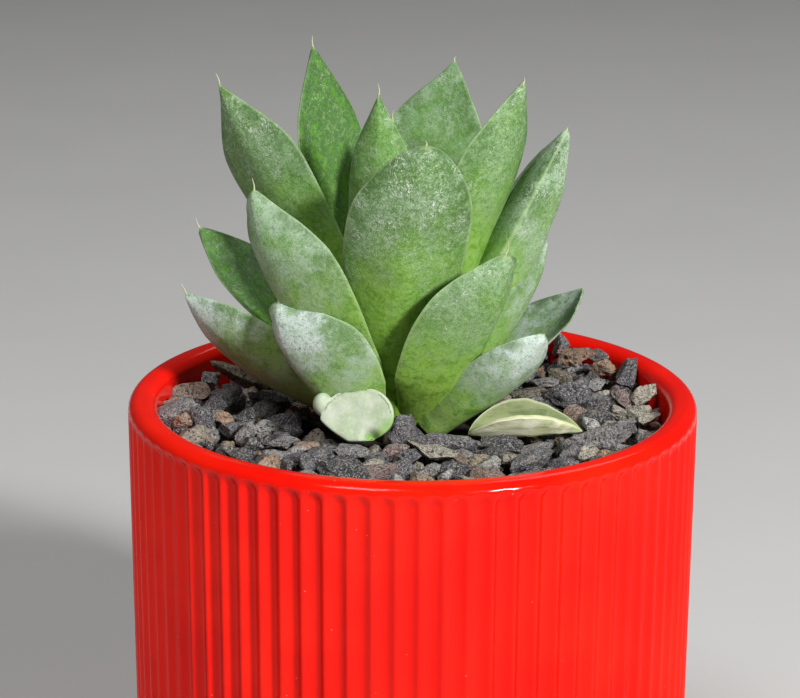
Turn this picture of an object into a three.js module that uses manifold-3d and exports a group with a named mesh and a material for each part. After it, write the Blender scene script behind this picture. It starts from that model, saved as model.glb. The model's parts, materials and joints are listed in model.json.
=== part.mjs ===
// Potted haworthia: a rosette of fleshy boat-shaped leaves in a round fluted pot,
// with potting mix inside and a loose layer of angular grit on top.
// Millimetres, +Z up. The origin is the centre of the pot's foot, at the height it stands on.

import * as THREE from 'three';
import Module from 'manifold-3d';
import { mergeVertices } from 'three/addons/utils/BufferGeometryUtils.js';

const wasm = await Module();
wasm.setup();

// ---------------------------------------------------------------- driving dimensions

const GAP = 0.3;                 // clearance kept between pieces that touch

const POT_HEIGHT = 75;
const POT_RADIUS = 40;           // at the rim
const POT_TAPER = 0.0075;        // radius lost for each millimetre below the rim
const POT_WALL = 4.1;
const POT_FLOOR = 5;
const RIM_ROUNDING = 1.65;
const RIM_BAND = 2;              // plain band between the rim and the tops of the flutes
const FLUTES = 80;
const FLUTE_SHIFT = 0.35;        // how far the first ridge stands round from +X, in flutes
const POT_SIDES = 72;            // corners of the pot's plain rings
const FLUTE_DEPTH = 0.5;
const FLUTE_FADE = 1.6;          // height over which a flute runs out at each end
const FLUTE_FOOT = 4;            // height where the flutes begin
const FOOT_OUTER = 37.6;
const FOOT_INNER = 32;
const FOOT_RECESS = 1.2;
const DRAIN_RADIUS = 4;

const SOIL_TOP = 67.6;
const GRIT_BED = [SOIL_TOP + GAP, 70.0];   // bottom and top of the packed layer under the loose stones
const GRIT_LEVEL = 71.2;                   // usual height of the stones' middles
const GRIT_SPACING = 5.2;
const GRIT_LENGTH = [5.4, 8];            // smallest and largest stone
const GRIT_SEED = 20260;

const ROSETTE = [-1.8, 1.4];     // where the stem stands, seen from above
const STEM_BOTTOM = 60;
const STEM_TOP = 77.6;
const STEM_RADIUS = [3.3, 2.2];  // below and above
const ROOTS = 6;
const ROOT_RADIUS = [1.5, 0.6];  // at the stem and at the root's end
const ROOT_REACH = 24;
const ROOT_DEPTH = 34;

const MARGIN = 0.3;              // half the thickness of a leaf's edge
const TIP_HALF_WIDTH = 0.4;      // where the bristle stands on the leaf's tip

// Leaves from the heart of the rosette outwards. azimuth: the side it leans to, from +X,
// anticlockwise from above. lean and tipLean: degrees from upright at its foot and at its tip.
// radius and height: where its foot starts, from the stem's middle and from the pot's foot.
// widest: how far along it is broadest. point: higher is more pointed. turn: rolled about
// its own length. sweep: change of azimuth from foot to tip. hook: tip carried sideways.
// full: how much broader one half of the blade is than the other.
const LEAF = {
  foot: 0.5, widest: 0.58, point: 0.65, turn: 0, sweep: 0, hook: 0, full: 0, fat: 0.26, cup: 0.03, awn: 1.9,
  shiftX: 0,
};
const LEAVES = [
  { azimuth: 246, lean: 12, tipLean: 5, length: 41, width: 10.3, radius: 1, height: 78, turn: 12, sweep: -4,
    widest: 0.55, point: 0.72 },
  { azimuth: 105, lean: 6, tipLean: 4, length: 34.5, width: 9, radius: 1.4, height: 78.2, widest: 0.6 },
  { azimuth: -88, lean: 26, tipLean: 16, length: 45, width: 16.7, radius: 3, height: 72.5, widest: 0.73,
    point: 0.52, turn: -4, sweep: 4, foot: 0.38, shiftX: -1, hook: 3.2, fat: 0.24 },
  { azimuth: -29, lean: 16.5, tipLean: 24, length: 47.8, width: 13.8, radius: 2, height: 76, widest: 0.63,
    point: 0.6, turn: -16, sweep: 2, foot: 0.48 },
  { azimuth: 175, lean: 24, tipLean: 31, length: 49.8, width: 14.8, radius: 2, height: 74, widest: 0.72,
    point: 0.93, turn: 50, sweep: 8, hook: -1.7, foot: 0.4, fat: 0.2 },
  { azimuth: 63, lean: 15, tipLean: 18, length: 46.4, width: 17.8, radius: 2.4, height: 75, point: 0.77,
    turn: 10, sweep: -4, fat: 0.22, full: 0.18 },
  { azimuth: 130, lean: 24, tipLean: 14, length: 49, width: 14.5, radius: 2.4, height: 75, widest: 0.54,
    sweep: 8, foot: 0.45 },
  { azimuth: 0, lean: 24, tipLean: 31, length: 43.7, width: 16.5, radius: 2.6, height: 74, point: 0.71,
    turn: 5, sweep: -5, foot: 0.48, fat: 0.44, full: 0.28, cup: -0.12 },
  { azimuth: -45, lean: 37.5, tipLean: 30.5, length: 31.8, width: 15, radius: 3, height: 72.5, widest: 0.61,
    point: 0.46, sweep: -13, hook: 1, foot: 0.48, fat: 0.31, full: -0.4 },
  { azimuth: -148, lean: 41.5, tipLean: 15, length: 37.6, width: 16.5, radius: 3, height: 73, widest: 0.69,
    point: 0.56, turn: 10, sweep: 9, hook: -4.6, full: 0.26 },
  { azimuth: 98, lean: 38, tipLean: 26, length: 35, width: 15, radius: 3, height: 73.5 },
  { azimuth: 40, lean: 44, tipLean: 30, length: 34, width: 13, radius: 3, height: 73.2 },
  { azimuth: 10, lean: 46, tipLean: 29, length: 29, width: 13.7, radius: 3, height: 73, turn: -25 },
  { azimuth: 157, lean: 50, tipLean: 50, length: 35.5, width: 12.5, radius: 3, height: 73, widest: 0.63,
    point: 0.5, turn: -15, sweep: 10 },
  { azimuth: -152.5, lean: 54, tipLean: 22, length: 23, width: 14.8, radius: 3.5, start: [-1.8, -1.8],
    height: 72.5, widest: 0.69, point: 0.49, turn: 30, hook: -2.3, foot: 0.37, fat: 0.31, full: 0.46 },
  { azimuth: -35, lean: 50, tipLean: 47, length: 23.4, width: 10.1, radius: 5.5, height: 71.2, widest: 0.61,
    point: 0.6, turn: -33, sweep: 4, foot: 0.63, hook: 0.8, fat: 0.3 },
  { azimuth: 120, lean: 62, tipLean: 50, length: 29, width: 13, radius: 3.2, height: 72 },
  { azimuth: 72, lean: 63, tipLean: 48, length: 29, width: 13, radius: 3.2, height: 72 },
  { azimuth: 25, lean: 65, tipLean: 58, length: 30, width: 13.6, radius: 3, height: 72, sweep: 6, hook: -0.7,
    full: 0.12, cup: 0.12 },
  { azimuth: 182, lean: 64, tipLean: 49, length: 31.8, width: 14.2, radius: 3.5, height: 71.5, widest: 0.55,
    point: 0.61, turn: 45, sweep: -2 },
];
const STUNTED_LEAF = {
  azimuth: -160, lean: 80, tipLean: 62, length: 11.5, width: 7.4, radius: 0, start: [-3.4, -9.2],
  height: 73.5, widest: 0.42, point: 0.4, foot: 0.85, turn: -58, fat: 0.36, cup: 0, awn: 0.4, knob: 1.35,
};
const WITHERED_LEAF = {
  azimuth: -2, lean: 86, tipLean: 94, length: 15.5, width: 8.6, radius: 0, height: 73.2, start: [8.4, -8.4],
  widest: 0.5, point: 0.6, foot: 0.35, turn: 14, sweep: 12, fat: 0.16, cup: 0.05, awn: 0.6,
};

// ---------------------------------------------------------------- solids from rings of points

const radians = THREE.MathUtils.degToRad;

// Joins two closed rings, which may have different numbers of points, with a band of triangles.
function band(triangles, first, firstCount, second, secondCount) {
  let i = 0;
  let j = 0;
  while (i < firstCount || j < secondCount) {
    const a = first + (i % firstCount);
    const b = second + (j % secondCount);
    if (j === secondCount || (i < firstCount && (i + 1) * secondCount <= (j + 1) * firstCount)) {
      triangles.push(a, first + ((i + 1) % firstCount), b);
      i += 1;
    } else {
      triangles.push(a, second + ((j + 1) % secondCount), b);
      j += 1;
    }
  }
}

// A solid through rings of points. Its ends are closed to a point each, or, when ends is null,
// the last ring is joined to the first.
function loft(rings, ends) {
  const points = [];
  const triangles = [];
  const starts = [];
  for (const ring of rings) {
    starts.push(points.length);
    points.push(...ring);
  }
  const count = rings.length;
  for (let k = 0; k < count - (ends ? 1 : 0); k += 1) {
    const next = (k + 1) % count;
    band(triangles, starts[k], rings[k].length, starts[next], rings[next].length);
  }
  if (ends) {
    const low = points.length;
    points.push(ends[0], ends[1]);
    const last = count - 1;
    for (let i = 0; i < rings[0].length; i += 1) {
      triangles.push(low, starts[0] + ((i + 1) % rings[0].length), starts[0] + i);
    }
    for (let i = 0; i < rings[last].length; i += 1) {
      triangles.push(low + 1, starts[last] + i, starts[last] + ((i + 1) % rings[last].length));
    }
  }
  return solid(points, triangles);
}

function solid(points, triangles) {
  const vertProperties = new Float32Array(points.flatMap((p) => [p.x, p.y, p.z]));
  const triVerts = new Uint32Array(triangles);
  return new wasm.Manifold(new wasm.Mesh({ numProp: 3, vertProperties, triVerts }));
}

function fromGeometry(geometry) {
  return new wasm.Manifold(new wasm.Mesh({
    numProp: 3,
    vertProperties: Float32Array.from(geometry.getAttribute('position').array),
    triVerts: Uint32Array.from(geometry.getIndex().array),
  }));
}

function circle(radius, z, count, centre = [0, 0]) {
  return Array.from({ length: count }, (_, i) => {
    const angle = (2 * Math.PI * i) / count;
    return new THREE.Vector3(centre[0] + radius * Math.cos(angle), centre[1] + radius * Math.sin(angle), z);
  });
}

// The largest piece of a cut solid: loose crumbs and closed bubbles are dropped.
function largestPiece(shape) {
  return shape.decompose().reduce((best, piece) => (piece.volume() > best.volume() ? piece : best));
}

function mesh(name, shape, colour, roughness) {
  const { vertProperties, triVerts } = shape.getMesh();
  const geometry = new THREE.BufferGeometry();
  geometry.setAttribute('position', new THREE.BufferAttribute(Float32Array.from(vertProperties), 3));
  geometry.setIndex([...triVerts]);
  geometry.computeVertexNormals();
  const material = new THREE.MeshStandardMaterial({ color: colour, roughness, metalness: 0 });
  const result = new THREE.Mesh(geometry, material);
  result.name = name;
  return result;
}

// Repeatable random numbers from 0 to 1.
function randomFrom(seed) {
  let state = seed;
  return () => {
    state = (state * 1664525 + 1013904223) % 4294967296;
    return state / 4294967296;
  };
}

// ---------------------------------------------------------------- pot

function wallRadius(z) {
  return POT_RADIUS - (POT_HEIGHT - z) * POT_TAPER;
}

function flutedRing(z, depth) {
  const stepsPerFlute = 3;
  const count = FLUTES * stepsPerFlute;
  return Array.from({ length: count }, (_, i) => {
    const across = ((i % stepsPerFlute) / stepsPerFlute) * 2 - 1;
    const radius = wallRadius(z) - depth * (1 - across * across);
    const angle = 2 * Math.PI * (i / count + FLUTE_SHIFT / FLUTES);
    return new THREE.Vector3(radius * Math.cos(angle), radius * Math.sin(angle), z);
  });
}

function buildPot() {
  const sides = POT_SIDES;
  const fluteTop = POT_HEIGHT - RIM_BAND;
  const rings = [
    circle(FOOT_OUTER, 0, sides),
    circle(wallRadius(0) - 0.3, 1.2, sides),
    flutedRing(FLUTE_FOOT, 0),
    flutedRing(FLUTE_FOOT + FLUTE_FADE, FLUTE_DEPTH),
    flutedRing(fluteTop - FLUTE_FADE, FLUTE_DEPTH),
    flutedRing(fluteTop, 0),
  ];
  // The rim is rounded outside and inside.
  const roundingSteps = 3;
  const outerCentre = POT_RADIUS - RIM_ROUNDING;
  const innerCentre = POT_RADIUS - POT_WALL + RIM_ROUNDING;
  const centreHeight = POT_HEIGHT - RIM_ROUNDING;
  for (let i = 0; i <= roundingSteps; i += 1) {
    const angle = (Math.PI / 2) * (i / roundingSteps);
    rings.push(circle(outerCentre + RIM_ROUNDING * Math.cos(angle),
      centreHeight + RIM_ROUNDING * Math.sin(angle), sides));
  }
  for (let i = 0; i <= roundingSteps; i += 1) {
    const angle = (Math.PI / 2) * (1 - i / roundingSteps);
    rings.push(circle(innerCentre - RIM_ROUNDING * Math.cos(angle),
      centreHeight + RIM_ROUNDING * Math.sin(angle), sides));
  }
  const innerFoot = wallRadius(POT_FLOOR) - POT_WALL;
  rings.push(
    circle(innerFoot, POT_FLOOR + 2, sides),
    circle(innerFoot - 2, POT_FLOOR, sides),
    circle(DRAIN_RADIUS, POT_FLOOR, sides / 3),
    circle(DRAIN_RADIUS, FOOT_RECESS, sides / 3),
    circle(FOOT_INNER - FOOT_RECESS, FOOT_RECESS, sides),
    circle(FOOT_INNER, 0, sides),
  );
  return loft(rings, null);
}

// ---------------------------------------------------------------- leaves

// Places and directions along a leaf: along its length, across it, and towards its inner face.
function leafFrames(leaf, stations) {
  const start = radians(leaf.azimuth);
  const [x, y] = leaf.start ?? ROSETTE;
  const place = new THREE.Vector3(
    x + leaf.shiftX + leaf.radius * Math.cos(start), y + leaf.radius * Math.sin(start), leaf.height);
  const direction = (t) => {
    const azimuth = start + radians(leaf.sweep) * t;
    const lean = radians(leaf.lean + (leaf.tipLean - leaf.lean) * t);
    return {
      along: new THREE.Vector3(
        Math.sin(lean) * Math.cos(azimuth), Math.sin(lean) * Math.sin(azimuth), Math.cos(lean)),
      inward: new THREE.Vector3(
        -Math.cos(lean) * Math.cos(azimuth), -Math.cos(lean) * Math.sin(azimuth), Math.sin(lean)),
    };
  };
  const substeps = 6;
  let previous = 0;
  return stations.map((t) => {
    for (let k = 0; k < substeps; k += 1) {
      const middle = previous + ((t - previous) * (k + 0.5)) / substeps;
      place.addScaledVector(direction(middle).along, (leaf.length * (t - previous)) / substeps);
    }
    previous = t;
    const { along, inward } = direction(t);
    const across = new THREE.Vector3().crossVectors(inward, along);
    const point = place.clone().addScaledVector(across, leaf.hook * t ** 3);
    across.applyAxisAngle(along, radians(leaf.turn));
    inward.applyAxisAngle(along, radians(leaf.turn));
    return { t, point, along, across, inward };
  });
}

function ball(centre, radius) {
  const sphere = new THREE.IcosahedronGeometry(radius, 1);
  sphere.deleteAttribute('normal');
  sphere.deleteAttribute('uv');
  sphere.translate(centre.x, centre.y, centre.z);
  return fromGeometry(mergeVertices(sphere));
}

function leafBreadth(leaf, t) {
  if (t < leaf.widest) {
    return leaf.foot + (1 - leaf.foot) * Math.sin((Math.PI / 2) * (t / leaf.widest));
  }
  const beyond = (t - leaf.widest) / (1 - leaf.widest);
  return Math.max(0, 1 - beyond * beyond) ** leaf.point;
}

// One boat-shaped section, from the right edge over the inner face and back under the keel.
function leafSection(leaf, frame, grow) {
  const innerSteps = [1, 0, -1];
  const outerSteps = [-1, -0.7, -0.35, 0, 0.35, 0.7, 1];
  const breadth = leafBreadth(leaf, frame.t);
  const half = Math.max((breadth * leaf.width) / 2, TIP_HALF_WIDTH) + grow;
  const depth = Math.max(leaf.width * leaf.fat * breadth ** 0.8 * (1 - 0.35 * frame.t), 0.25);
  const roundness = 2 - 0.7 * frame.t;
  const cup = leaf.cup * leaf.width * breadth;
  const lopsided = leaf.full * Math.min(1, frame.t / 0.3) * Math.min(1, (1 - frame.t) / 0.1);
  const at = (a, inward) => frame.point.clone()
    .addScaledVector(frame.across, half * a * (1 + lopsided * Math.sign(a)))
    .addScaledVector(frame.inward, inward);
  return [
    ...innerSteps.map((a) => at(a, MARGIN + grow - cup * (1 - a * a))),
    ...outerSteps.map((a) => at(a, -MARGIN - grow - depth * (1 - Math.abs(a) ** roundness))),
  ];
}

function buildLeaf(given, grow = 0) {
  const leaf = { ...LEAF, ...given };
  const rows = 8;
  const stations = Array.from({ length: rows + 1 }, (_, i) => 1 - (1 - i / rows) ** 1.35);
  const frames = leafFrames(leaf, stations);
  const rings = frames.map((frame) => leafSection(leaf, frame, grow));
  const first = frames[0];
  const last = frames[rows];
  if (grow > 0) {
    rings.unshift(rings[0].map((p) => p.clone().addScaledVector(first.along, -grow)));
  }
  const foot = first.point.clone().addScaledVector(first.along, -grow);
  // The bristle turns upright from the leaf's tip.
  const bristle = last.along.clone().add(new THREE.Vector3(0, 0, 1)).normalize();
  const tip = last.point.clone().addScaledVector(bristle, leaf.awn + grow);
  const body = loft(rings, [foot, tip]);
  return leaf.knob ? body.add(ball(last.point, leaf.knob + grow)) : body;
}

// ---------------------------------------------------------------- stem, roots, soil and grit

// A shard of crushed rock: eight faces whose six corners are pushed in and out.
function stone(centre, size, turns, random) {
  const octahedron = new THREE.OctahedronGeometry(1, 0);
  octahedron.deleteAttribute('normal');
  octahedron.deleteAttribute('uv');
  const shard = mergeVertices(octahedron);
  const corners = shard.getAttribute('position');
  const shift = () => 0.5 * (random() - 0.5);
  for (let i = 0; i < corners.count; i += 1) {
    corners.setXYZ(i, corners.getX(i) + shift(), corners.getY(i) + shift(), corners.getZ(i) + shift());
  }
  shard.scale(...size);
  shard.rotateX(turns[0]);
  shard.rotateY(turns[1]);
  shard.rotateZ(turns[2]);
  shard.translate(centre.x, centre.y, centre.z);
  return fromGeometry(shard);
}

function tube(route, radii, sides) {
  const frames = route.computeFrenetFrames(radii.length - 1, false);
  const rings = radii.map((radius, k) => {
    const centre = route.getPointAt(k / (radii.length - 1));
    return Array.from({ length: sides }, (_, i) => {
      const angle = (2 * Math.PI * i) / sides;
      return centre.clone()
        .addScaledVector(frames.normals[k], radius * Math.cos(angle))
        .addScaledVector(frames.binormals[k], radius * Math.sin(angle));
    });
  });
  return loft(rings, [route.getPointAt(0), route.getPointAt(1)]);
}

function buildStem(grow = 0) {
  const sides = 16;
  let stem = loft([
    circle(STEM_RADIUS[0] + grow, STEM_BOTTOM - grow, sides, ROSETTE),
    circle(STEM_RADIUS[0] + grow, SOIL_TOP, sides, ROSETTE),
    circle(STEM_RADIUS[1] + grow, STEM_TOP + grow, sides, ROSETTE),
  ], [
    new THREE.Vector3(...ROSETTE, STEM_BOTTOM - grow),
    new THREE.Vector3(...ROSETTE, STEM_TOP + grow),
  ]);
  const random = randomFrom(7);
  for (let i = 0; i < ROOTS; i += 1) {
    const angle = (2 * Math.PI * (i + 0.4 * random())) / ROOTS;
    const reach = ROOT_REACH * (0.7 + 0.3 * random());
    const depth = ROOT_DEPTH * (0.6 + 0.4 * random());
    const bend = angle + 0.5 * (random() - 0.5);
    const at = (share, fall, towards) => new THREE.Vector3(
      ROSETTE[0] + reach * share * Math.cos(towards), ROSETTE[1] + reach * share * Math.sin(towards),
      STEM_BOTTOM + 3 - depth * fall);
    const route = new THREE.CatmullRomCurve3(
      [at(0, 0, angle), at(0.4, 0.2, angle), at(0.75, 0.6, bend), at(1, 1, bend)]);
    const steps = 5;
    const radii = Array.from({ length: steps + 1 }, (_, k) => (
      THREE.MathUtils.lerp(ROOT_RADIUS[0], ROOT_RADIUS[1], k / steps) + grow));
    stem = stem.add(tube(route, radii, 5));
  }
  return stem;
}

function buildSoil(stemAndClearance) {
  const sides = 48;
  const inside = (z) => wallRadius(z) - POT_WALL - GAP;
  const floor = POT_FLOOR + GAP;
  const soil = loft([
    circle(inside(floor) - 2.3, floor, sides),
    circle(inside(floor), floor + 2.3, sides),
    circle(inside(SOIL_TOP), SOIL_TOP, sides),
  ], [new THREE.Vector3(0, 0, floor), new THREE.Vector3(0, 0, SOIL_TOP)]);
  return largestPiece(soil.subtract(stemAndClearance));
}

// The stones lie lower along the left of the pot and are heaped at the back right.
function gritLevel(x, y) {
  return GRIT_LEVEL + 0.02 * x + 0.008 * Math.max(0, x) * Math.max(0, y) ** 0.5;
}

function buildGrit(clearances) {
  const random = randomFrom(GRIT_SEED);
  const edge = wallRadius(SOIL_TOP) - POT_WALL - GAP;
  const stones = [loft([
    circle(edge, GRIT_BED[0], 48),
    circle(edge, GRIT_BED[1], 48),
  ], [new THREE.Vector3(0, 0, GRIT_BED[0]), new THREE.Vector3(0, 0, GRIT_BED[1])])];
  const rowHeight = GRIT_SPACING * Math.sqrt(0.75);
  const rows = Math.ceil(edge / rowHeight);
  for (let row = -rows; row <= rows; row += 1) {
    for (let column = -rows; column <= rows; column += 1) {
      const length = THREE.MathUtils.lerp(...GRIT_LENGTH, random() ** 1.6);
      const x = (column + (row % 2) / 2 + 0.3 * (random() - 0.5)) * GRIT_SPACING;
      const y = row * rowHeight + 0.3 * (random() - 0.5) * GRIT_SPACING;
      const size = [0.5, 0.36 + 0.1 * random(), 0.3 + 0.1 * random()].map((share) => share * length);
      const turns = [2 * Math.PI * random(), 0.8 * (random() - 0.5), 2 * Math.PI * random()];
      const z = gritLevel(x, y) + 0.8 * (random() - 0.5);
      if (Math.hypot(x, y) + length * 0.55 < edge) {
        stones.push(stone(new THREE.Vector3(x, y, z), size, turns, random));
      }
    }
  }
  return largestPiece(wasm.Manifold.union(stones).subtract(clearances));
}

// ---------------------------------------------------------------- the plant in its pot

const plant = new THREE.Group();
const stem = buildStem();
const stemClearance = buildStem(GAP);

plant.add(mesh('pot', buildPot(), 0xd81a10, 0.2));
plant.add(mesh('stem_and_roots', stem, 0xb9a878, 0.8));
plant.add(mesh('potting_soil', buildSoil(stemClearance), 0x2b211a, 1));

// Each outer leaf is hollowed where it clasps the leaves inside it, from the heart outwards.
let taken = stemClearance;
LEAVES.forEach((leaf, index) => {
  const shape = largestPiece(buildLeaf(leaf).subtract(taken));
  const name = `leaf_${String(index + 1).padStart(2, '0')}`;
  plant.add(mesh(name, shape, index % 2 ? 0x6f9a5c : 0x7ea66c, 0.55));
  taken = taken.add(buildLeaf(leaf, GAP));
});
plant.add(mesh('stunted_leaf', largestPiece(buildLeaf(STUNTED_LEAF).subtract(taken)), 0xc3d0a8, 0.6));
taken = taken.add(buildLeaf(STUNTED_LEAF, GAP));
plant.add(mesh('withered_leaf', largestPiece(buildLeaf(WITHERED_LEAF).subtract(taken)), 0xc9c98e, 0.75));
taken = taken.add(buildLeaf(WITHERED_LEAF, GAP));

plant.add(mesh('grit', buildGrit(taken), 0x6a6468, 0.95));

export default plant;
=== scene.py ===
import json
import math

import bmesh
import bpy
import numpy as np
from mathutils import Matrix, Vector, noise

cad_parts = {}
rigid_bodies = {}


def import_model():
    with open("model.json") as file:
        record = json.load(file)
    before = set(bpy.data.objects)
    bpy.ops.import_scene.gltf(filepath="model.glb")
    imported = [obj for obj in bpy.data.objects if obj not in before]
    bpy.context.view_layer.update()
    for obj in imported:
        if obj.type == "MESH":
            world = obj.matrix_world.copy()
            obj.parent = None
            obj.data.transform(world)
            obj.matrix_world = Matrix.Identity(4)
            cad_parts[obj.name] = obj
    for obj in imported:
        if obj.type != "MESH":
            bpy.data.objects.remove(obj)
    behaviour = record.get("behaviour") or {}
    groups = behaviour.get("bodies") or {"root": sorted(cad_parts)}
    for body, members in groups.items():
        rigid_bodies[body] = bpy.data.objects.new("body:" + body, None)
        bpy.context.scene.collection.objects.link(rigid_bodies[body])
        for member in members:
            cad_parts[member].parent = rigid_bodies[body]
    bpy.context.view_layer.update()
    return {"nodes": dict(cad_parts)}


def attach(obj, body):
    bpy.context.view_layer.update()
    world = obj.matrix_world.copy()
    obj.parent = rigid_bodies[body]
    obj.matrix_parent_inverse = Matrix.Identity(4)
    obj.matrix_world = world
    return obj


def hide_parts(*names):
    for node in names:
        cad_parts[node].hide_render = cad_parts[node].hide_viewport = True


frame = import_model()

MM = 0.001

# ------------------------------------------------------------------ sizes, in millimetres

POT_HEIGHT = 75
POT_RADIUS = 40
POT_TAPER = 0.0075
POT_WALL = 4.1
POT_FLOOR = 5
RIM_ROUNDING = 1.65
FLUTES = 80
FLUTE_SHIFT = 0.35               # how far the first ridge stands round from +X, in flutes
FLUTE_DEPTH = 0.75
FLUTE_TOP = 74.0                 # where the flutes die out under the rim
FLUTE_FOOT = 3.7
FOOT_OUTER = 37.6
FOOT_INNER = 32
FOOT_RECESS = 1.2
DRAIN_RADIUS = 4

GRIT_LEVEL = 71.1
GRIT_SLOPE = 0.02                # rise for each millimetre to the right
# Middle x and y, breadth and height of the heaps at the back right and at the left wall.
GRIT_HEAPS = ((26, 24, 11, 2.4), (-33, 0, 8, 2.0))
GRIT_EDGE = 35.4                 # the stones stay inside this radius
ROSETTE = (-1.8, 1.4)

# Leaves from the heart outwards. full: how much broader the right half is than the left.
# sharp: how far the tip is drawn out. awn, curl: how long its bristle is and how far it bends aside.
# frost: how much whitish bloom is on the leaf. lime: how yellow its green is.
# shade: painted shadow, how far the green is darkened where neighbouring leaves shadow it.
# worn: how strongly its upper part is grained and scratched.
LEAF = dict(foot=0.5, widest=0.58, point=0.65, turn=0, sweep=0, hook=0, fat=0.26, cup=0.03,
            awn=1.8, shift_x=0, start=ROSETTE, full=0, sharp=0.5, frost=0.3, shade=0.0, lime=0.15,
            worn=0.45, curl=0.3)
LEAVES = [
    dict(azimuth=246, lean=12, tip_lean=5, length=41, width=10.3, radius=1, height=78,
         turn=12, sweep=-4, widest=0.55, point=0.72, frost=0.12, lime=0.4),
    dict(azimuth=105, lean=6, tip_lean=4, length=34.5, width=9, radius=1.4, height=78.2,
         widest=0.6),
    dict(azimuth=-88, lean=26, tip_lean=16, length=45, width=16.7, radius=3, height=72.5,
         widest=0.73, point=0.52, turn=-4, sweep=4, foot=0.38, shift_x=-1, hook=3.2,
         fat=0.24, frost=0.25, shade=0.1, worn=1.0, sharp=0.2, awn=0.7),
    dict(azimuth=-29, lean=16.5, tip_lean=24, length=47.8, width=13.8, radius=2, height=76,
         widest=0.63, point=0.6, turn=-16, sweep=2, foot=0.48, frost=0.15, lime=0.6, shade=0.2, worn=0.7,
         awn=0.9),
    dict(azimuth=175, lean=24, tip_lean=31, length=49.8, width=14.8, radius=2, height=74,
         widest=0.72, point=0.93, turn=50, sweep=8, hook=-1.7, foot=0.4, fat=0.2, frost=0.22,
         worn=0.7),
    dict(azimuth=63, lean=15, tip_lean=18, length=46.4, width=17.8, radius=2.4, height=75,
         point=0.77, turn=10, sweep=-4, fat=0.22, full=0.18, shade=0.4, frost=0.35, worn=0.4, awn=0.7),
    dict(azimuth=130, lean=24, tip_lean=14, length=49, width=14.5, radius=2.4, height=75,
         widest=0.54, sweep=8, foot=0.45, frost=0.05, lime=0.5, shade=0.9, worn=0.1),
    dict(azimuth=0, lean=24, tip_lean=31, length=43.7, width=16.5, radius=2.6, height=74,
         point=0.71, turn=5, sweep=-5, foot=0.48, fat=0.44, full=0.28, cup=-0.12,
         frost=0.5, worn=0.8, awn=0.6),
    dict(azimuth=-45, lean=37.5, tip_lean=30.5, length=31.8, width=15, radius=3, height=72.5,
         widest=0.61, point=0.46, sweep=-13, hook=1, foot=0.48, fat=0.31, full=-0.4,
         frost=0.25, lime=0.25, worn=0.55, sharp=0.25, curl=1, awn=2.7),
    dict(azimuth=-148, lean=41.5, tip_lean=15, length=37.6, width=16.5, radius=3, height=73,
         widest=0.69, point=0.56, turn=10, sweep=9, hook=-4.6, full=0.26, frost=0.55, lime=0.4,
         worn=0.4),
    dict(azimuth=98, lean=38, tip_lean=26, length=35, width=15, radius=3, height=73.5),
    dict(azimuth=40, lean=44, tip_lean=30, length=34, width=13, radius=3, height=73.2),
    dict(azimuth=10, lean=46, tip_lean=29, length=29, width=13.7, radius=3, height=73, turn=-25,
         frost=0.6),
    dict(azimuth=157, lean=50, tip_lean=50, length=35.5, width=12.5, radius=3, height=73,
         widest=0.63, point=0.5, turn=-15, sweep=10, shade=0.9, frost=0.1,
         worn=0.2),
    dict(azimuth=-152.5, lean=54, tip_lean=22, length=23, width=14.8, radius=3.5,
         start=(-1.8, -1.8), height=72.5, sharp=0.35, widest=0.69, point=0.49, turn=30,
         hook=-2.3, foot=0.37, fat=0.31, full=0.46, frost=0.95, lime=0.3, awn=3, curl=0),
    dict(azimuth=-35, lean=50, tip_lean=47, length=23.4, width=10.1, radius=5.5,
         height=71.2, widest=0.61, point=0.6, turn=-33, sweep=4, foot=0.63, hook=0.8, fat=0.3,
         frost=0.95, sharp=0.15, awn=0.3),
    dict(azimuth=120, lean=62, tip_lean=50, length=29, width=13, radius=3.2, height=72),
    dict(azimuth=72, lean=63, tip_lean=48, length=29, width=13, radius=3.2, height=72),
    dict(azimuth=25, lean=65, tip_lean=58, length=30, width=13.6, radius=3, height=72,
         sweep=6, hook=-0.7, full=0.12, cup=0.12, frost=0.95, awn=0.4),
    dict(azimuth=182, lean=64, tip_lean=49, length=31.8, width=14.2, radius=3.5, height=71.5,
         widest=0.55, point=0.61, turn=45, sweep=-2, frost=0.85),
]

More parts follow.
